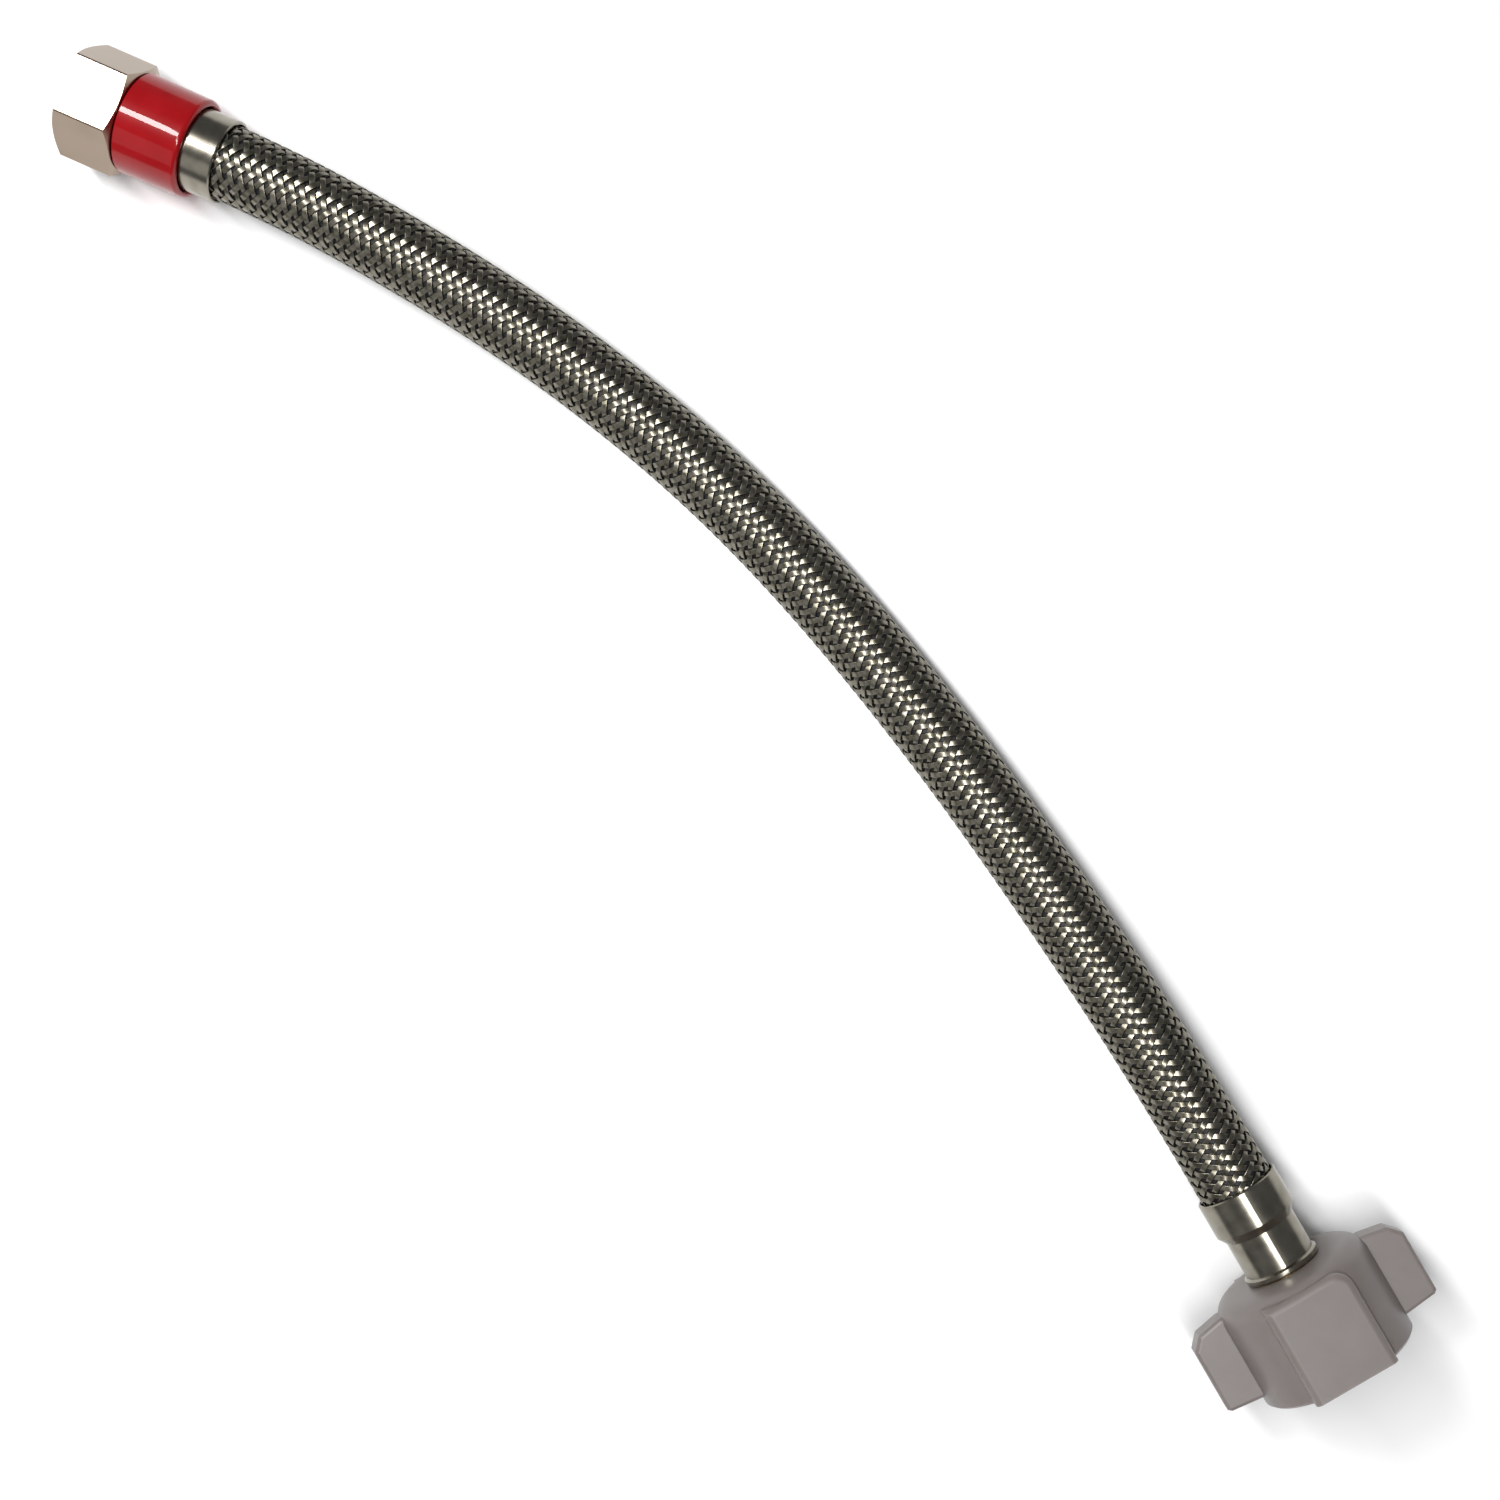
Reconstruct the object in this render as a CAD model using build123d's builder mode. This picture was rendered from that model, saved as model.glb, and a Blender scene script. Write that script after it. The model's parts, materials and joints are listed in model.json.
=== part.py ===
from build123d import *
from math import cos, pi, radians, sin, tan
import os

# Braided supply line: 3/8 in compression hex nut at the inlet, 7/8 in wing nut at the outlet.
# Millimetres. It lies on z = 0 with +X from the inlet end to the outlet end and the bow towards +Y.
# Each end has its own axis. A station is a distance along that axis, measured outwards from the
# mouth of the end's ferrule, where the hose goes in. Outlines are lists of (station, radius).

# Play between pieces that touch in use
GAP = 0.1
HAIR = 0.02

# Hose: a braided sleeve over a liner, both crimped onto the barbs at each end
BRAID_R = 6.4
BRAID_WALL = 0.55
LINER_R = BRAID_R - BRAID_WALL - GAP
LINER_BORE_R = 4.35
CRIMPED_BRAID_R = 5.55
CRIMPED_BRAID_BORE_R = 5.1
CRIMPED_LINER_R = 5.0
HOSE_TUBE_END = 6.4
CRIMP_START = 7.8
INLET_HOSE_END = 11.4
OUTLET_HOSE_END = 14.4

# Barbs of both tailpieces
BARB_R = 4.25
BARB_BORE_R = 3.2
BARB_START = 1.0
BARB_PITCH = 2.4
BARB_DEPTH = 0.35
BARB_CREST = 0.2

# Ferrules: wide mouth, tapered shoulder, neck and a rolled rim closed onto the barb
FERRULE_R = 7.1
FERRULE_BORE_R = 6.65
NECK_R = 6.1
NECK_BORE_R = 5.65
RIM_R = 6.6
RIM_LENGTH = 0.9
RIM_ROLL = 0.3
TAPER_START = 6.2
TAPER_END = 7.7
MOUTH_EDGE = 0.2
INLET_RIM_END = 12.4
OUTLET_RIM_END = 15.5

# Inlet end: hex nut 11/16 in across flats, thread 9/16-24
INLET_MOUTH = (-122.45, 6.3)
INLET_TURN = 21.8
HEX_FLATS = 17.46
HEX_START = 16.9
HEX_END = 27.1
HEX_WEB = 1.9
HEX_CHAMFER = 0.75
HEX_EDGE = 0.4
HEX_BACK_R = 8.45
HEX_FRONT_R = 8.75
INLET_HOLE_R = 5.6
INLET_THREAD_R = 7.17
INLET_RELIEF_R = 7.5
INLET_THREAD_START = 23.2

# Red collar, which tapers a little towards the hose
COLLAR_R = 8.6
COLLAR_MOUTH_R = 8.4
COLLAR_START = 5.4
COLLAR_END = 16.7
COLLAR_BORE_R = 7.35
COLLAR_WEB_START = 12.8
COLLAR_MOUTH_EDGE = 0.75
COLLAR_NUT_EDGE = 0.2

# Shutoff valve in the inlet tailpiece
BODY_R = 5.3
CHAMBER_R = 4.2
SEAT_R = 2.2
SEAT_START = 12.5
SEAT_END = 13.3
INLET_FLANGE_R = 6.3
INLET_FLANGE_START = 19.0
INLET_FLANGE_END = 20.4
SPIGOT_R = 4.9
SPIGOT_END = 22.3
RING_START = 18.5
RING_END = 19.1
RING_GROOVE_R = 4.65
RING_BORE_R = 3.3
RING_PLAY = 0.05
PLUNGER_BACK = 18.3
PLUNGER_FLANGE = 17.6
PLUNGER_HUB = 16.2
PLUNGER_NOSE = 14.8
PLUNGER_NOSE_TIP = 0.4
PLUNGER_FLANGE_R = 3.9
PLUNGER_HUB_R = 2.4
PLUNGER_NOSE_R = 1.55
FLOW_HOLES = 6
FLOW_HOLE_R = 0.4
FLOW_CIRCLE_R = 3.0
O_RING_WIRE_R = 0.5
SPRING_R = 3.45
SPRING_WIRE_R = 0.2
SPRING_TURNS = 4
SPRING_PLAY = 0.05

# Cone seal of the inlet
INLET_SEAL_LENGTH = 2.6
INLET_SEAL_STEP = 0.8
INLET_SEAL_R = 6.35
INLET_SEAL_TIP_R = 5.5

# Outlet end: wing nut with a 7/8-14 thread
OUTLET_MOUTH = (116.45, 6.3)
OUTLET_TURN = -14.4
STEM_R = 5.8
OUTLET_FLANGE_R = 9.4
OUTLET_FLANGE_START = 18.9
OUTLET_FLANGE_END = 20.4
SNOUT_R = 5.0
SNOUT_END = 22.6
NUT_TOP = 15.7
NUT_END = 34.1
NUT_R = 13.65
NUT_CROWN_R = 8.0
NUT_SHOULDER = (1.2, 12.9)
NUT_SHOULDER_LENGTH = 3.2
NUT_END_EDGE = 0.5
NUT_WEB = 3.0
NUT_HOLE_R = 6.1
NUT_THREAD_R = 11.15
NUT_RELIEF_R = 11.6
NUT_THREAD_START = 25.3
PAD_HEIGHT = 13.9
PAD_WIDTH = 15.0
PAD_START = 16.9
PAD_CORNER = 3.0
PAD_EDGE = 1.2
WING_REACH = 19.8
WING_THICK = 5.0
WING_ROOT_START = 17.2
WING_TIP_START = 18.0
WING_TIP_END = 31.4
WING_ROOT_END = 32.0
WING_TOP_CORNER = (2.1, 1.9)
WING_END_CORNER = (0.5, 0.6)
WING_EDGE = 0.7

# Cone washer of the outlet
WASHER_LENGTH = 4.2
WASHER_STEP = 1.2
WASHER_R = 9.9
WASHER_TIP_R = 7.6

INLET_AXIS_Z = HEX_FLATS / 2
OUTLET_AXIS_Z = PAD_HEIGHT

# The hose's route between the ferrules: (x, y, height of the centreline)
ROUTE_MIDDLE = [
    (-103.3, 13.23, 8.55),
    (-69.5, 22.22, 7.3),
    (-36.5, 26.79, 6.5),
    (-6.5, 27.17, 6.45),
    (27.8, 24.01, 7.5),
    (60.9, 18.57, 10.9),
]
INLET_LEAD = 2.0
OUTLET_LEAD = 21.1
ROUND_SHARE = 0.45


def end_section(mouth, height, turn, outward):
    """Plane whose X is an end's axis, pointing outwards, and whose Y is up."""
    along = Vector(outward * cos(radians(turn)), outward * sin(radians(turn)), 0)
    return Plane(origin=(*mouth, height), x_dir=along, z_dir=along.cross(Vector(0, 0, 1)))


inlet = end_section(INLET_MOUTH, INLET_AXIS_Z, INLET_TURN, -1)
outlet = end_section(OUTLET_MOUTH, OUTLET_AXIS_Z, OUTLET_TURN, 1)


def on_axis(section, station):
    """Point on an end's axis."""
    return section.from_local_coords(Vector(station, 0, 0))


def across(section, station):
    """Plane across an end's axis at a station, with its normal outwards and its X up."""
    return Plane(origin=on_axis(section, station), x_dir=(0, 0, 1), z_dir=section.x_dir)


def level(section):
    """Horizontal plane through an end's axis, with X along the axis."""
    return Plane(origin=section.origin, x_dir=section.x_dir, z_dir=(0, 0, 1))


def turned(section, outline, mode=Mode.ADD):
    """Turn a closed outline about an end's axis."""
    with BuildSketch(section) as profile:
        with BuildLine():
            Polyline(*outline, close=True)
        make_face()
    revolve(profile.sketch, axis=Axis(section.origin, section.x_dir), mode=mode)


def ring(inner, outer, start, end):
    """Outline of a plain ring."""
    return [(start, inner), (end, inner), (end, outer), (start, outer)]


def circles_at(part, section, station, radius):
    """The circular edges of a part with one radius, at one station."""
    centre = on_axis(section, station)
    return (
        part.edges()
        .filter_by(GeomType.CIRCLE)
        .filter_by(lambda edge: abs(edge.radius - radius) < HAIR)
        .filter_by(lambda edge: (edge.arc_center - centre).length < HAIR)
    )


# ---- hose ----------------------------------------------------------------------------------

route = [
    on_axis(inlet, HOSE_TUBE_END),
    on_axis(inlet, -INLET_LEAD),
    *[Vector(*point) for point in ROUTE_MIDDLE],
    on_axis(outlet, -OUTLET_LEAD),
    on_axis(outlet, HOSE_TUBE_END),
]


def arc_radii(points):
    """Radius at each corner that rounds off the same share of its shorter run."""
    radii = []
    for before, corner, after in zip(points, points[1:], points[2:]):
        run_in = corner - before
        run_out = after - corner
        half_turn = radians(run_in.get_angle(run_out)) / 2
        radii.append(ROUND_SHARE * min(run_in.length, run_out.length) / tan(half_turn))
    return radii


radii = arc_radii(route)
with BuildLine() as hose_line:
    FilletPolyline(*route, radius=radii)
hose_length = sum(edge.length for edge in hose_line.edges())


def hose_layer(outer, inner, crimped_outer, crimped_inner):
    """One layer of the hose: a tube along the route and its crimped ends in the ferrules."""
    with BuildSketch(Plane(origin=route[0], z_dir=-inlet.x_dir)) as wall:
        Circle(outer)
        Circle(inner, mode=Mode.SUBTRACT)
    sweep(wall.sketch, path=hose_line.wire())
    for section, end in ((inlet, INLET_HOSE_END), (outlet, OUTLET_HOSE_END)):
        turned(
            section,
            [
                (HOSE_TUBE_END, inner),
                (CRIMP_START, crimped_inner),
                (end, crimped_inner),
                (end, crimped_outer),
                (CRIMP_START, crimped_outer),
                (HOSE_TUBE_END, outer),
            ],
        )


with BuildPart() as braid_sleeve:
    hose_layer(BRAID_R, BRAID_R - BRAID_WALL, CRIMPED_BRAID_R, CRIMPED_BRAID_BORE_R)

with BuildPart() as inner_tube:
    hose_layer(LINER_R, LINER_BORE_R, CRIMPED_LINER_R, LINER_BORE_R)


# ---- ferrules ------------------------------------------------------------------------------

def ferrule(section, rim_end):
    """Outline of a crimped sleeve, turned about an end's axis."""
    rim_start = rim_end - RIM_LENGTH
    turned(
        section,
        [
            (0, FERRULE_BORE_R),
            (TAPER_START, FERRULE_BORE_R),
            (TAPER_END, NECK_BORE_R),
            (rim_start, NECK_BORE_R),
            (rim_start, BARB_R + GAP),
            (rim_end, BARB_R + GAP),
            (rim_end, RIM_R),
            (rim_start, RIM_R),
            (rim_start - RIM_ROLL, NECK_R),
            (TAPER_END, NECK_R),
            (TAPER_START, FERRULE_R),
            (MOUTH_EDGE, FERRULE_R),
            (0, FERRULE_R - MOUTH_EDGE),
        ],
    )


with BuildPart() as inlet_ferrule:
    ferrule(inlet, INLET_RIM_END)
    fillet(circles_at(inlet_ferrule, inlet, INLET_RIM_END, RIM_R), radius=RIM_ROLL)

with BuildPart() as outlet_ferrule:
    ferrule(outlet, OUTLET_RIM_END)
    fillet(circles_at(outlet_ferrule, outlet, OUTLET_RIM_END, RIM_R), radius=RIM_ROLL)


# ---- inlet end -----------------------------------------------------------------------------

def barbs(end):
    """Points of a barbed shank from its tip to its root."""
    points = []
    station = BARB_START
    while station + BARB_PITCH < end:
        points += [(station, BARB_R - BARB_DEPTH), (station + BARB_PITCH - BARB_CREST, BARB_R)]
        station += BARB_PITCH
    points += [(station, BARB_R - BARB_DEPTH), (end, BARB_R - BARB_DEPTH)]
    return points


with BuildPart() as inlet_tailpiece:
    turned(
        inlet,
        [
            (BARB_START, BARB_BORE_R),
            *barbs(SEAT_START),
            (SEAT_START, BODY_R),
            (INLET_FLANGE_START, BODY_R),
            (INLET_FLANGE_START, INLET_FLANGE_R),
            (INLET_FLANGE_END, INLET_FLANGE_R),
            (INLET_FLANGE_END, SPIGOT_R),
            (SPIGOT_END, SPIGOT_R),
            (SPIGOT_END, CHAMBER_R),
            (RING_END, CHAMBER_R),
            (RING_END, RING_GROOVE_R),
            (RING_START, RING_GROOVE_R),
            (RING_START, CHAMBER_R),
            (SEAT_END, CHAMBER_R),
            (SEAT_END, SEAT_R),
            (SEAT_START, SEAT_R),
            (SEAT_START, BARB_BORE_R),
        ],
    )

with BuildPart() as retaining_ring:
    turned(
        inlet,
        ring(RING_BORE_R, RING_GROOVE_R - GAP, RING_START + RING_PLAY, RING_END - RING_PLAY),
    )

with BuildPart() as shutoff_plunger:
    turned(
        inlet,
        [
            (PLUNGER_NOSE, 0),
            (PLUNGER_NOSE, PLUNGER_NOSE_R - PLUNGER_NOSE_TIP),
            (PLUNGER_NOSE + PLUNGER_NOSE_TIP, PLUNGER_NOSE_R),
            (PLUNGER_HUB, PLUNGER_NOSE_R),
            (PLUNGER_HUB, PLUNGER_HUB_R),
            (PLUNGER_FLANGE, PLUNGER_HUB_R),
            (PLUNGER_FLANGE, PLUNGER_FLANGE_R),
            (PLUNGER_BACK, PLUNGER_FLANGE_R),
            (PLUNGER_BACK, 0),
        ],
    )
    with BuildSketch(across(inlet, PLUNGER_FLANGE)):
        with PolarLocations(FLOW_CIRCLE_R, FLOW_HOLES):
            Circle(FLOW_HOLE_R)
    extrude(amount=PLUNGER_BACK - PLUNGER_FLANGE, mode=Mode.SUBTRACT)

with BuildPart() as plunger_o_ring:
    with BuildSketch(inlet):
        with Locations(
            (PLUNGER_HUB - O_RING_WIRE_R - HAIR, PLUNGER_NOSE_R + O_RING_WIRE_R + HAIR)
        ):
            Circle(O_RING_WIRE_R)
    revolve(axis=Axis(inlet.origin, inlet.x_dir))

with BuildPart() as plunger_spring:
    spring_length = PLUNGER_FLANGE - SEAT_END - 2 * SPRING_WIRE_R - 2 * SPRING_PLAY
    spring_base = across(inlet, SEAT_END + SPRING_WIRE_R + SPRING_PLAY)
    coil = Helix(
        pitch=spring_length / SPRING_TURNS,
        height=spring_length,
        radius=SPRING_R,
        center=spring_base.origin,
        direction=spring_base.z_dir,
    )
    with BuildSketch(Plane(origin=coil @ 0, z_dir=coil % 0)):
        Circle(SPRING_WIRE_R)
    sweep(path=coil)

with BuildPart() as inlet_cone_seal:
    turned(
        inlet,
        [
            (INLET_FLANGE_END + HAIR, SPIGOT_R + GAP),
            (INLET_FLANGE_END + INLET_SEAL_LENGTH, SPIGOT_R + GAP),
            (INLET_FLANGE_END + INLET_SEAL_LENGTH, INLET_SEAL_TIP_R),
            (INLET_FLANGE_END + INLET_SEAL_STEP, INLET_SEAL_R),
            (INLET_FLANGE_END + HAIR, INLET_SEAL_R),
        ],
    )

with BuildPart() as shutoff_collar:
    turned(
        inlet,
        [
            (COLLAR_START, COLLAR_BORE_R + COLLAR_NUT_EDGE),
            (COLLAR_START + COLLAR_NUT_EDGE, COLLAR_BORE_R),
            (COLLAR_WEB_START, COLLAR_BORE_R),
            (COLLAR_WEB_START, BODY_R + GAP),
            (COLLAR_END, BODY_R + GAP),
            (COLLAR_END, COLLAR_R - COLLAR_NUT_EDGE),
            (COLLAR_END - COLLAR_NUT_EDGE, COLLAR_R),
            (COLLAR_START, COLLAR_MOUTH_R),
        ],
    )
    mouth_rim = circles_at(shutoff_collar, inlet, COLLAR_START, COLLAR_MOUTH_R)
    fillet(mouth_rim, radius=COLLAR_MOUTH_EDGE)

with BuildPart() as hex_nut:
    with BuildSketch(across(inlet, HEX_START)) as hexagon:
        RegularPolygon(radius=HEX_FLATS / 2, side_count=6, major_radius=False, rotation=30)
        fillet(hexagon.vertices(), radius=HEX_EDGE)
    extrude(amount=HEX_END - HEX_START)
    corner_r = HEX_FLATS / 2 / cos(pi / 6) + GAP
    turned(
        inlet,
        [
            (HEX_START, 0),
            (HEX_START, HEX_BACK_R),
            (HEX_START + HEX_CHAMFER, corner_r),
            (HEX_END - HEX_CHAMFER, corner_r),
            (HEX_END, HEX_FRONT_R),
            (HEX_END, 0),
        ],
        mode=Mode.INTERSECT,
    )
    turned(
        inlet,
        [
            (HEX_START, 0),
            (HEX_START, INLET_HOLE_R),
            (HEX_START + HEX_WEB, INLET_HOLE_R),
            (HEX_START + HEX_WEB, INLET_RELIEF_R),
            (INLET_THREAD_START, INLET_RELIEF_R),
            (INLET_THREAD_START, INLET_THREAD_R),
            (HEX_END, INLET_THREAD_R),
            (HEX_END, 0),
        ],
        mode=Mode.SUBTRACT,
    )


# ---- outlet end ----------------------------------------------------------------------------

with BuildPart() as outlet_tailpiece:
    turned(
        outlet,
        [
            (BARB_START, BARB_BORE_R),
            *barbs(OUTLET_RIM_END),
            (OUTLET_RIM_END, STEM_R),
            (OUTLET_FLANGE_START, STEM_R),
            (OUTLET_FLANGE_START, OUTLET_FLANGE_R),
            (OUTLET_FLANGE_END, OUTLET_FLANGE_R),
            (OUTLET_FLANGE_END, SNOUT_R),
            (SNOUT_END, SNOUT_R),
            (SNOUT_END, BARB_BORE_R),
        ],
    )

with BuildPart() as outlet_cone_washer:
    turned(
        outlet,
        [
            (OUTLET_FLANGE_END + HAIR, SNOUT_R + GAP),
            (OUTLET_FLANGE_END + WASHER_LENGTH, SNOUT_R + GAP),
            (OUTLET_FLANGE_END + WASHER_LENGTH, WASHER_TIP_R),
            (OUTLET_FLANGE_END + WASHER_STEP, WASHER_R),
            (OUTLET_FLANGE_END + HAIR, WASHER_R),
        ],
    )

# The wing nut's two opposite flat pads, as one block across the barrel
with BuildPart() as pads:
    with BuildSketch(level(outlet)) as pad:
        with Locations(((PAD_START + NUT_END) / 2, 0)):
            Rectangle(NUT_END - PAD_START, PAD_WIDTH)
        fillet(pad.vertices().group_by(Axis(outlet.origin, outlet.x_dir))[0], radius=PAD_CORNER)
    extrude(pad.sketch, amount=PAD_HEIGHT, both=True)
    pad_faces = pads.faces().sort_by(Axis.Z)
    pad_rims = pad_faces[0].edges() + pad_faces[-1].edges()
    end_plane_x = on_axis(outlet, NUT_END).dot(outlet.x_dir)
    pad_rims = pad_rims.filter_by(
        lambda edge: edge.center().dot(outlet.x_dir) < end_plane_x - HAIR
    )
    fillet(pad_rims, radius=PAD_EDGE)

# Its two opposite wings, as one plate across the barrel
with BuildPart() as wings:
    with BuildSketch(level(outlet)) as wing:
        with BuildLine():
            Polyline(
                (WING_ROOT_START, 0),
                (WING_ROOT_START, NUT_R),
                (WING_TIP_START, WING_REACH - WING_TOP_CORNER[1]),
                (WING_TIP_START + WING_TOP_CORNER[0], WING_REACH),
                (WING_TIP_END - WING_END_CORNER[0], WING_REACH),
                (WING_TIP_END, WING_REACH - WING_END_CORNER[1]),
                (WING_ROOT_END, NUT_R),
                (WING_ROOT_END, 0),
                close=True,
            )
        make_face()
        mirror(about=Plane.XZ)
    extrude(wing.sketch, amount=WING_THICK / 2, both=True)
    wing_faces = wings.faces().sort_by(Axis.Z)
    fillet(wing_faces[0].edges() + wing_faces[-1].edges(), radius=WING_EDGE)

with BuildPart() as wing_nut:
    with BuildSketch(outlet) as barrel:
        crown = (NUT_TOP, NUT_CROWN_R)
        side = (NUT_TOP + NUT_SHOULDER_LENGTH, NUT_R)
        with BuildLine():
            Polyline(side, (NUT_END - NUT_END_EDGE, NUT_R), (NUT_END, NUT_R - NUT_END_EDGE))
            Polyline((NUT_END, NUT_R - NUT_END_EDGE), (NUT_END, 0), (NUT_TOP, 0), crown)
            Spline(
                crown,
                (NUT_TOP + NUT_SHOULDER[0], NUT_SHOULDER[1]),
                side,
                tangents=((0, 1), (1, 0)),
            )
        make_face()
    revolve(barrel.sketch, axis=Axis(outlet.origin, outlet.x_dir))
    add(pads.part)
    add(wings.part)
    turned(
        outlet,
        [
            (NUT_TOP - GAP, 0),
            (NUT_TOP - GAP, NUT_HOLE_R),
            (NUT_TOP + NUT_WEB, NUT_HOLE_R),
            (NUT_TOP + NUT_WEB, NUT_RELIEF_R),
            (NUT_THREAD_START, NUT_RELIEF_R),
            (NUT_THREAD_START, NUT_THREAD_R),
            (NUT_END + GAP, NUT_THREAD_R),
            (NUT_END + GAP, 0),
        ],
        mode=Mode.SUBTRACT,
    )


# ---- export --------------------------------------------------------------------------------

pieces = {
    "hex_nut": hex_nut,
    "inlet_cone_seal": inlet_cone_seal,
    "inlet_tailpiece": inlet_tailpiece,
    "shutoff_plunger": shutoff_plunger,
    "plunger_o_ring": plunger_o_ring,
    "plunger_spring": plunger_spring,
    "retaining_ring": retaining_ring,
    "shutoff_collar": shutoff_collar,
    "inlet_ferrule": inlet_ferrule,
    "inner_tube": inner_tube,
    "braid_sleeve": braid_sleeve,
    "outlet_ferrule": outlet_ferrule,
    "outlet_tailpiece": outlet_tailpiece,
    "outlet_cone_washer": outlet_cone_washer,
    "wing_nut": wing_nut,
}

os.makedirs("parts", exist_ok=True)
for name, piece in pieces.items():
    piece.part.label = name
    export_step(piece.part, f"parts/{name}.step")

print("hose arc radii:", [round(radius, 1) for radius in radii])
print("hose tube length:", round(hose_length, 2))
section_area = pi * (BRAID_R**2 - (BRAID_R - BRAID_WALL) ** 2)
print("braid tube section x length:", round(section_area * hose_length, 1))
print("braid solid:", round(braid_sleeve.part.volume, 1))
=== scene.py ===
import json
import math

import bpy
import numpy as np
from mathutils import Matrix, Vector


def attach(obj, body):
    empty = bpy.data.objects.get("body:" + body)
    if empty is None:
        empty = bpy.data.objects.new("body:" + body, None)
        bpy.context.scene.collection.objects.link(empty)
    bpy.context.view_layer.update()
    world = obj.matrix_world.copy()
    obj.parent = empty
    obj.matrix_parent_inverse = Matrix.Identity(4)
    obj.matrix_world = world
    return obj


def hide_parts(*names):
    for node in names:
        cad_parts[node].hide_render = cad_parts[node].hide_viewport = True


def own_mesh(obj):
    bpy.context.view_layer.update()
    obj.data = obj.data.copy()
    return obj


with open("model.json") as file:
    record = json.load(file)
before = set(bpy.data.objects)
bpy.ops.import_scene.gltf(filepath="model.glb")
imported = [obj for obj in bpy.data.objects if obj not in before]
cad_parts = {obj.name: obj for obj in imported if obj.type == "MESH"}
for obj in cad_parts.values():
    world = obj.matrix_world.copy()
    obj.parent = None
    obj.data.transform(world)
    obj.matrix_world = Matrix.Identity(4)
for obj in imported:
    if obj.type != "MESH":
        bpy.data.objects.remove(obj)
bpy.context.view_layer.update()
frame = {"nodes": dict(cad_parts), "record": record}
scene = bpy.context.scene
mounts = {m["name"]: m for m in frame["record"]["mounts"]}

MM = 0.001

# Stations along an end's axis, from the mouth of its ferrule outwards, as in the CAD source
INLET_MOUNT_STATION = 25.15 * MM
OUTLET_MOUNT_STATION = 29.7 * MM


class End:
    """An end fitting's axis: a point at any station, and points around it."""

    def __init__(self, mount, station):
        self.out = Vector(mount["axis"]).normalized()
        self.mouth = Vector(mount["pos_m"]) - self.out * station
        self.up = Vector((0, 0, 1))
        self.side = self.out.cross(self.up)

    def at(self, station, radius=0.0, angle=0.0):
        around = self.up * math.cos(angle) + self.side * math.sin(angle)
        return self.mouth + self.out * station + around * radius


inlet = End(mounts["inlet_thread"], INLET_MOUNT_STATION)
outlet = End(mounts["outlet_thread"], OUTLET_MOUNT_STATION)

# ---- camera: straight above, turned so that the line runs from top left to bottom right ------

CAMERA_AT = Vector((0.0336, 0.0009, 0.365))
CAMERA_TURN = math.radians(45.45)
CAMERA_SENSOR_MM = 36
CAMERA_LENS_MM = 51.07
# Shares of the picture's width: the lens axis is off the middle of the picture
CAMERA_SHIFT = (-0.0733, 0.0667)
NEAREST_SEEN = 0.01
camera_data = bpy.data.cameras.new("camera")
camera_data.sensor_width = CAMERA_SENSOR_MM
camera_data.lens = CAMERA_LENS_MM
camera_data.shift_x, camera_data.shift_y = CAMERA_SHIFT
camera_data.clip_start = NEAREST_SEEN
camera = bpy.data.objects.new("camera", camera_data)
scene.collection.objects.link(camera)
camera.matrix_world = Matrix.Translation(CAMERA_AT) @ Matrix.Rotation(CAMERA_TURN, 4, "Z")
scene.camera = camera

# ---- hose route: the same points as the CAD source ------------------------------------------

INLET_LEAD = 2.0 * MM
OUTLET_LEAD = 21.1 * MM
HOSE_TUBE_END = 6.4 * MM
ROUTE_MIDDLE = [
    (-0.1033, 0.01323, 0.00855),
    (-0.0695, 0.02222, 0.0073),
    (-0.0365, 0.02679, 0.0065),
    (-0.0065, 0.02717, 0.00645),
    (0.0278, 0.02401, 0.0075),
    (0.0609, 0.01857, 0.0109),
]
route = [
    inlet.at(HOSE_TUBE_END),
    inlet.at(-INLET_LEAD),
    *[Vector(point) for point in ROUTE_MIDDLE],
    outlet.at(-OUTLET_LEAD),
    outlet.at(HOSE_TUBE_END),
]
# Points of the centreline on each stretch of the route
ROUTE_STEPS = 60


def spline_points(points):
    """Points along the NURBS spline whose control points are the route."""
    curve = bpy.data.curves.new("route", "CURVE")
    curve.dimensions = "3D"
    spline = curve.splines.new("NURBS")
    spline.points.add(len(points) - 1)
    for control, point in zip(spline.points, points):
        control.co = (*point, 1)
    spline.order_u = 3
    spline.use_endpoint_u = True
    spline.resolution_u = ROUTE_STEPS
    holder = bpy.data.objects.new("route", curve)
    scene.collection.objects.link(holder)
    mesh = bpy.data.meshes.new_from_object(holder)
    found = np.array([vertex.co for vertex in mesh.vertices])
    bpy.data.objects.remove(holder)
    bpy.data.meshes.remove(mesh)
    return found


class Hose:
    """The hose's centreline, with a frame that doesn't twist along it."""

    def __init__(self, points):
        self.points = points
        steps = np.linalg.norm(np.diff(points, axis=0), axis=1)
        self.station = np.concatenate([[0], np.cumsum(steps)])
        self.length = self.station[-1]
        along = np.gradient(points, self.station, axis=0)
        along /= np.linalg.norm(along, axis=1)[:, None]
        # Each up is the one before it, leaned only as far as the hose bends there
        up = np.array([0.0, 0.0, 1.0])
        ups = []
        for direction in along:
            up = up - direction * (up @ direction)
            up = up / np.linalg.norm(up)
            ups.append(up)
        self.up = np.array(ups)
        self.side = np.cross(along, self.up)

    def around(self, station, angle, radius):
        """Points at stations along the hose, at angles and radii about it."""
        centre = self._at(self.points, station)
        up = self._at(self.up, station)
        side = self._at(self.side, station)
        return centre + radius[..., None] * (
            up * np.cos(angle)[..., None] + side * np.sin(angle)[..., None]
        )

    def _at(self, values, station):
        return np.stack(
            [np.interp(station, self.station, values[:, k]) for k in range(3)], axis=-1
        )


hose = Hose(spline_points(route))


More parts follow.
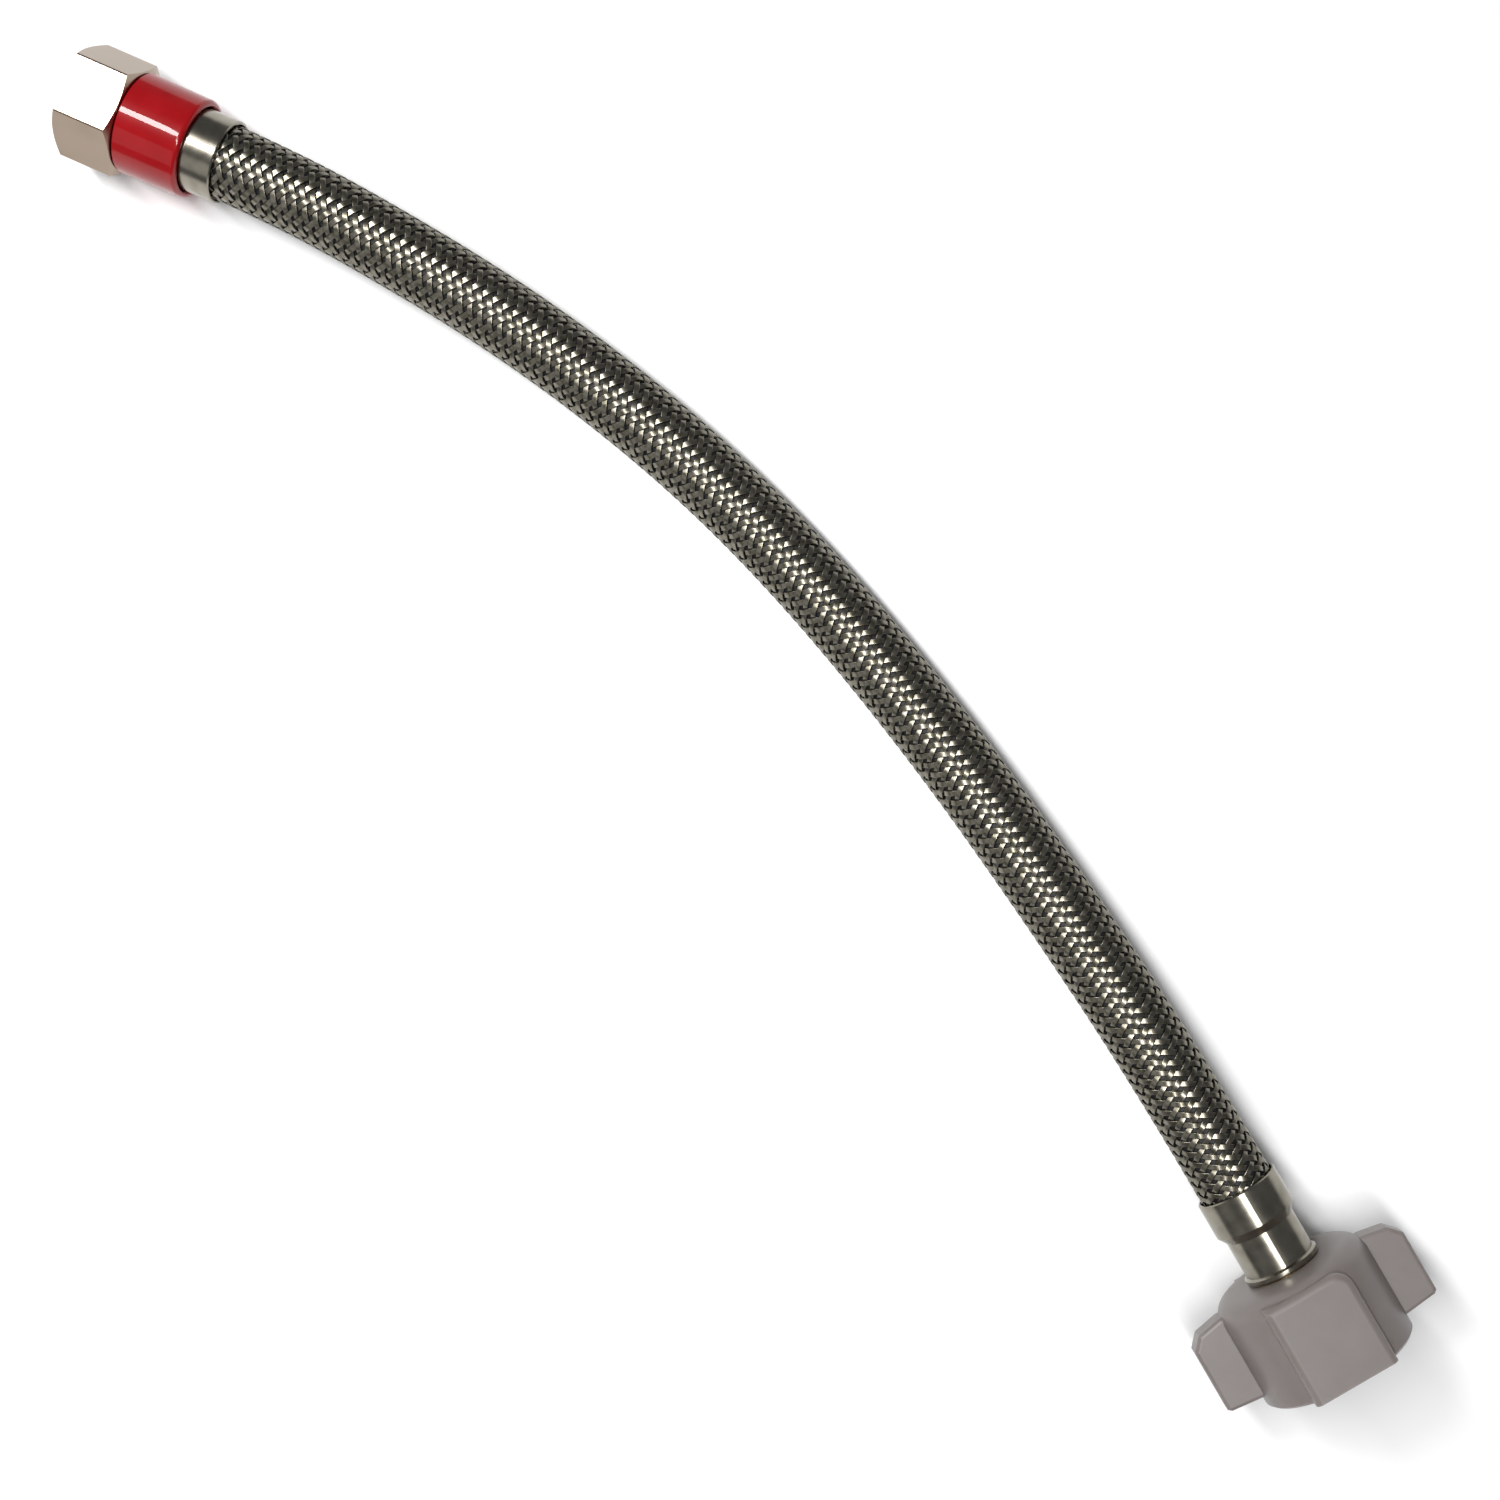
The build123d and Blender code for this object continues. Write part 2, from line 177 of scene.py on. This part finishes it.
def new_object(name, vertices, faces, smooth=True):
    """A mesh object from points and faces, linked to the scene."""
    mesh = bpy.data.meshes.new(name)
    mesh.from_pydata([tuple(v) for v in vertices], [], faces)
    mesh.polygons.foreach_set("use_smooth", [smooth] * len(mesh.polygons))
    mesh.update()
    thing = bpy.data.objects.new(name, mesh)
    scene.collection.objects.link(thing)
    return thing


def tube_faces(rings, around, closed=False):
    """Quads between rings of points, with a cap on each end or, if closed, joined end to end."""
    faces = []
    last = rings if closed else rings - 1
    for ring in range(last):
        a = ring * around
        b = ((ring + 1) % rings) * around
        for k in range(around):
            n = (k + 1) % around
            faces.append((a + k, a + n, b + n, b + k))
    if not closed:
        faces.append(tuple(reversed(range(around))))
        faces.append(tuple(range((rings - 1) * around, rings * around)))
    return faces


# ---- braid -----------------------------------------------------------------------------------

# Strands each way, the length of hose in which a strand turns once, and the wires in a strand
BRAID_R = 6.4 * MM
STRANDS = 12
LEAD = 23.6 * MM
WIRES = 4
WIRE_D = 0.24 * MM
WIRE_RELIEF = 0.05 * MM
# A strand is closed underneath by a flat base, this deep and this share of its width
RIBBON_BASE = 0.12 * MM
RIBBON_BASE_SHARE = 0.92
# How far a strand rises and sinks about the middle of the weave
WEAVE_DEPTH = 0.14 * MM
RINGS_PER_CROSSING = 4
# The strands stop this short of the hose's ends
TRIM = 0.3 * MM


def ribbon_section():
    """(offset across, height) points round one flat strand of parallel wires."""
    half = WIRES * WIRE_D / 2
    top = []
    for wire in range(WIRES):
        left = -half + wire * WIRE_D
        top += [(left, 0.0), (left + WIRE_D / 2, WIRE_RELIEF)]
    top += [(half, 0.0)]
    base = half * RIBBON_BASE_SHARE
    return np.array(top + [(base, -RIBBON_BASE), (-base, -RIBBON_BASE)])


CROSSING = LEAD / (2 * STRANDS)
RINGS = int((hose.length - 2 * TRIM) / CROSSING * RINGS_PER_CROSSING) + 1


def strand(number, hand):
    """Rings of points of one strand. hand is 1 or -1, the way it turns about the hose."""
    section = ribbon_section()
    station = TRIM + np.arange(RINGS) * CROSSING / RINGS_PER_CROSSING
    middle_r = BRAID_R - WIRE_RELIEF - WEAVE_DEPTH
    slope = 2 * math.pi * middle_r / LEAD
    lean = math.atan(slope)
    start = 2 * math.pi * number / STRANDS
    # Over one, under one, nearly flat on top; the other hand is under where this one is over
    lift = hand * np.sin(math.pi / 2 * np.cos(math.pi * station / CROSSING))
    radius = middle_r + WEAVE_DEPTH * lift
    angle = start + hand * slope * station / middle_r
    s = station[:, None] - hand * section[None, :, 0] * math.sin(lean)
    a = angle[:, None] + section[None, :, 0] * math.cos(lean) / radius[:, None]
    r = radius[:, None] + section[None, :, 1]
    return hose.around(np.clip(s, 0, hose.length), a, r).reshape(-1, 3)


def braid_part(name, hand, numbers):
    """Strands that turn one way, as one mesh."""
    around = len(ribbon_section())
    one = tube_faces(RINGS, around)
    vertices = []
    faces = []
    for count, number in enumerate(numbers):
        base = count * RINGS * around
        vertices.append(strand(number, hand))
        faces += [tuple(base + v for v in face) for face in one]
    thing = new_object(name, np.concatenate(vertices), faces)
    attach(thing, "hose_assembly")
    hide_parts("braid_sleeve")
    return thing


braid = [
    braid_part(f"braid_{way}_hand_{half + 1}", hand, range(half, STRANDS, 2))
    for way, hand in (("right", 1), ("left", -1))
    for half in (0, 1)
]

# ---- liner -----------------------------------------------------------------------------------

LINER_R = 5.75 * MM
LINER_BORE_R = 4.35 * MM
LINER_AROUND = 64
LINER_RINGS = 240


def make_liner():
    """The liner hose inside the braid: an outer and an inner wall, joined at both ends."""
    stations = np.linspace(0, hose.length, LINER_RINGS)
    angles = np.linspace(0, 2 * math.pi, LINER_AROUND, endpoint=False)
    walls = []
    for radius, order in ((LINER_R, 1), (LINER_BORE_R, -1)):
        s, a = np.meshgrid(stations[::order], angles, indexing="ij")
        walls.append(hose.around(s, a, np.full_like(s, radius)).reshape(-1, 3))
    faces = tube_faces(2 * LINER_RINGS, LINER_AROUND, closed=True)
    thing = new_object("liner_hose", np.concatenate(walls), faces)
    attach(thing, "hose_assembly")
    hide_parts("inner_tube")
    return thing


liner = make_liner()

# ---- materials -------------------------------------------------------------------------------


def new_material(name, color, metallic, roughness, **sockets):
    """A material with a lone Principled shader; sockets are its other inputs by name."""
    material = bpy.data.materials.new(name)
    material.use_nodes = True
    shader = material.node_tree.nodes["Principled BSDF"]
    shader.inputs["Base Color"].default_value = (*color, 1)
    shader.inputs["Metallic"].default_value = metallic
    shader.inputs["Roughness"].default_value = roughness
    for socket, value in sockets.items():
        shader.inputs[socket.replace("_", " ")].default_value = value
    return material


# Where in the noise's range the colour goes from dark to light, and how deep the relief is
COLOR_BAND = (0.35, 0.65)
RELIEF_DEPTH = 0.1 * MM


def vary(material, scale, dark, light, rough, bump=0.0, detail=3):
    """Breaks up a material's colour and roughness with noise in object space, and its relief."""
    tree = material.node_tree
    shader = tree.nodes["Principled BSDF"]
    where = tree.nodes.new("ShaderNodeTexCoord")
    noise = tree.nodes.new("ShaderNodeTexNoise")
    noise.inputs["Scale"].default_value = scale
    noise.inputs["Detail"].default_value = detail
    colors = tree.nodes.new("ShaderNodeValToRGB")
    for element, position, color in zip(colors.color_ramp.elements, COLOR_BAND, (dark, light)):
        element.position = position
        element.color = (*color, 1)
    roughness = tree.nodes.new("ShaderNodeMapRange")
    roughness.inputs["To Min"].default_value = rough[0]
    roughness.inputs["To Max"].default_value = rough[1]
    tree.links.new(where.outputs["Object"], noise.inputs["Vector"])
    tree.links.new(noise.outputs["Fac"], colors.inputs["Fac"])
    tree.links.new(colors.outputs["Color"], shader.inputs["Base Color"])
    tree.links.new(noise.outputs["Fac"], roughness.inputs["Value"])
    tree.links.new(roughness.outputs["Result"], shader.inputs["Roughness"])
    if bump:
        relief = tree.nodes.new("ShaderNodeBump")
        relief.inputs["Strength"].default_value = bump
        relief.inputs["Distance"].default_value = RELIEF_DEPTH
        tree.links.new(noise.outputs["Fac"], relief.inputs["Height"])
        tree.links.new(relief.outputs["Normal"], shader.inputs["Normal"])
    return material


braid_steel = vary(
    new_material("braid_steel", (0.20, 0.185, 0.15), metallic=1.0, roughness=0.28),
    scale=900, dark=(0.145, 0.135, 0.10), light=(0.26, 0.24, 0.20), rough=(0.22, 0.36),
)
nickel_plate = vary(
    new_material("nickel_plate", (0.315, 0.25, 0.195), metallic=1.0, roughness=0.2),
    scale=120, dark=(0.295, 0.235, 0.18), light=(0.335, 0.265, 0.21), rough=(0.16, 0.24),
    bump=0.05,
)
ferrule_steel = vary(
    new_material("ferrule_steel", (0.27, 0.25, 0.205), metallic=1.0, roughness=0.22),
    scale=500, dark=(0.24, 0.22, 0.18), light=(0.30, 0.28, 0.23), rough=(0.19, 0.26),
    bump=0.04,
)
red_plastic = vary(
    new_material(
        "red_plastic", (0.30, 0.003, 0.005), metallic=0.0, roughness=0.3,
        Specular_IOR_Level=0.08, Coat_Weight=0.6, Coat_Roughness=0.03,
    ),
    scale=160, dark=(0.28, 0.002, 0.004), light=(0.32, 0.004, 0.007), rough=(0.26, 0.36),
    bump=0.03,
)
nut_plastic = vary(
    new_material(
        "nut_plastic", (0.195, 0.17, 0.16), metallic=0.0, roughness=0.36,
        Subsurface_Weight=0.4, Subsurface_Scale=0.003, Subsurface_Radius=(1, 0.9, 0.85),
    ),
    scale=90, dark=(0.185, 0.16, 0.15), light=(0.205, 0.18, 0.17), rough=(0.33, 0.41),
    bump=0.06,
)
brass = vary(
    new_material("brass", (0.72, 0.52, 0.25), metallic=1.0, roughness=0.28),
    scale=400, dark=(0.66, 0.46, 0.20), light=(0.78, 0.58, 0.30), rough=(0.2, 0.36),
    bump=0.1,
)
seal_rubber = vary(
    new_material("seal_rubber", (0.03, 0.03, 0.03), metallic=0.0, roughness=0.6),
    scale=700, dark=(0.02, 0.02, 0.02), light=(0.045, 0.045, 0.045), rough=(0.5, 0.7),
    bump=0.3, detail=4,
)
liner_polymer = vary(
    new_material("liner_polymer", (0.012, 0.012, 0.013), metallic=0.0, roughness=0.55),
    scale=500, dark=(0.008, 0.008, 0.009), light=(0.018, 0.018, 0.019), rough=(0.5, 0.65),
)
valve_plastic = vary(
    new_material("valve_plastic", (0.8, 0.78, 0.72), metallic=0.0, roughness=0.45),
    scale=400, dark=(0.76, 0.74, 0.68), light=(0.84, 0.82, 0.77), rough=(0.4, 0.52),
    bump=0.1,
)
spring_steel = vary(
    new_material("spring_steel", (0.55, 0.53, 0.5), metallic=1.0, roughness=0.25),
    scale=900, dark=(0.5, 0.48, 0.45), light=(0.6, 0.58, 0.55), rough=(0.2, 0.3),
)


def dress(thing, material):
    """Gives a piece one material all over."""
    thing.data.materials.clear()
    thing.data.materials.append(material)
    thing.data.polygons.foreach_set("material_index", [0] * len(thing.data.polygons))


slot_material = {
    "nickel_plate": nickel_plate,
    "ferrule_steel": ferrule_steel,
    "braid_steel": braid_steel,
    "spring_steel": spring_steel,
    "brass": brass,
    "red_plastic": red_plastic,
    "nut_plastic": nut_plastic,
    "valve_plastic": valve_plastic,
    "liner_polymer": liner_polymer,
    "seal_rubber": seal_rubber,
}
for subpart in frame["record"]["subparts"]:
    dress(frame["nodes"][subpart["node"]], slot_material[subpart["material_slot"]])
for part in braid:
    dress(part, braid_steel)
dress(liner, liner_polymer)

# ---- threads ---------------------------------------------------------------------------------

# Steps in a turn of thread, half its foot and half its crest as shares of the pitch, how deep its
# foot and its lowest crest are in the wall, and how fast and how far it tapers away at its ends
THREAD_STEPS = 72
THREAD_FOOT = 0.44
THREAD_CREST = 0.10
THREAD_FOOT_DEPTH = 0.05 * MM
THREAD_CREST_DEPTH = 0.03 * MM
THREAD_TAPER = 3
THREAD_LEAST = 0.02


def inner_thread(name, end, root_r, crest_r, pitch, start, stop, body, slot):
    """A helical ridge on the wall of a nut's bore, tapering away at both ends."""
    turns = (stop - start) / pitch
    steps = int(turns * THREAD_STEPS)
    vertices = []
    for step in range(steps + 1):
        t = step / THREAD_STEPS
        fade = min(1.0, THREAD_TAPER * t, THREAD_TAPER * (turns - t))
        station = start + t * pitch
        crest = root_r + THREAD_CREST_DEPTH - (root_r - crest_r) * max(fade, THREAD_LEAST)
        wall = root_r + THREAD_FOOT_DEPTH
        angle = 2 * math.pi * t
        outline = (
            (-THREAD_FOOT * pitch, wall),
            (-THREAD_CREST * pitch, crest),
            (THREAD_CREST * pitch, crest),
            (THREAD_FOOT * pitch, wall),
        )
        vertices += [end.at(station + shift, radius, angle) for shift, radius in outline]
    thing = new_object(name, vertices, tube_faces(steps + 1, len(outline)), smooth=False)
    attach(thing, body)
    dress(thing, slot_material[slot])


INCH = 25.4 * MM
inner_thread(
    "hex_nut_thread", inlet, root_r=7.17 * MM, crest_r=6.55 * MM, pitch=INCH / 24,
    start=23.9 * MM, stop=26.4 * MM, body="hex_nut", slot="nickel_plate",
)
inner_thread(
    "wing_nut_thread", outlet, root_r=11.15 * MM, crest_r=10.2 * MM, pitch=INCH / 14,
    start=26.4 * MM, stop=32.9 * MM, body="wing_nut", slot="nut_plastic",
)

# ---- spring ----------------------------------------------------------------------------------

SPRING_R = 3.45 * MM
SPRING_WIRE_R = 0.2 * MM
SPRING_FIXED = 13.3 * MM
SPRING_FREE = 17.6 * MM
SPRING_TURNS = 4
# The gap between each end of the spring and its seat
SPRING_PLAY = 0.05 * MM
SPRING_STEPS = 36
SPRING_AROUND = 10
# How much the end coils close up, as a share of the spring's length
SPRING_CLOSED = 0.035


def make_spring():
    """The plunger's coil spring, a fixed helix whose end coils close up a little."""
    steps = SPRING_TURNS * SPRING_STEPS
    low = SPRING_FIXED + SPRING_WIRE_R + SPRING_PLAY
    high = SPRING_FREE - SPRING_WIRE_R - SPRING_PLAY
    vertices = []
    for step in range(steps + 1):
        t = step / steps
        angle = 2 * math.pi * SPRING_TURNS * t
        ease = t - SPRING_CLOSED * math.sin(2 * math.pi * t)
        station = low + (high - low) * ease
        for k in range(SPRING_AROUND):
            turn_k = 2 * math.pi * k / SPRING_AROUND
            vertices.append(
                inlet.at(
                    station + SPRING_WIRE_R * math.sin(turn_k),
                    SPRING_R + SPRING_WIRE_R * math.cos(turn_k),
                    angle,
                )
            )
    thing = new_object("valve_spring", vertices, tube_faces(steps + 1, SPRING_AROUND))
    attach(thing, "hose_assembly")
    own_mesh(thing)
    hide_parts("plunger_spring")
    dress(thing, spring_steel)


make_spring()

# ---- stage -----------------------------------------------------------------------------------

FLOOR_REACH = 3
FLOOR_Z = -0.2 * MM
floor_corners = ((-1, -1), (1, -1), (1, 1), (-1, 1))
floor = new_object(
    "floor",
    [(FLOOR_REACH * x, FLOOR_REACH * y, FLOOR_Z) for x, y in floor_corners],
    [(0, 1, 2, 3)],
    smooth=False,
)
dress(floor, new_material("floor", (0.94, 0.94, 0.94), metallic=0.0, roughness=0.6))

world = bpy.data.worlds.new("studio")
scene.world = world
world.use_nodes = True
background = world.node_tree.nodes["Background"]
background.inputs["Color"].default_value = (0.95, 0.97, 1.0, 1)
background.inputs["Strength"].default_value = 0.17


def softbox(name, place, aim, size, power):
    """An area light of a length and width at a place, facing an aim point."""
    data = bpy.data.lights.new(name, "AREA")
    data.shape = "RECTANGLE"
    data.size, data.size_y = size
    data.energy = power
    light = bpy.data.objects.new(name, data)
    light.location = place
    away = Vector(place) - Vector(aim)
    light.rotation_mode = "QUATERNION"
    light.rotation_quaternion = away.to_track_quat("Z", "Y")
    scene.collection.objects.link(light)


# The key is a long strip along the line: its reflection is the bright row down the braid
softbox("key_strip", (-0.15, -0.09, 0.75), aim=(-0.15, -0.09, 0), size=(0.94, 0.08), power=7.0)
softbox("overhead_left", (-0.52, -0.02, 0.76), aim=(-0.14, 0, 0), size=(0.14, 0.14), power=1.4)
softbox("fill_front", (-0.15, -0.75, 0.5), aim=(0, 0, 0), size=(0.5, 0.5), power=0.45)
scene.view_settings.view_transform = "Standard"
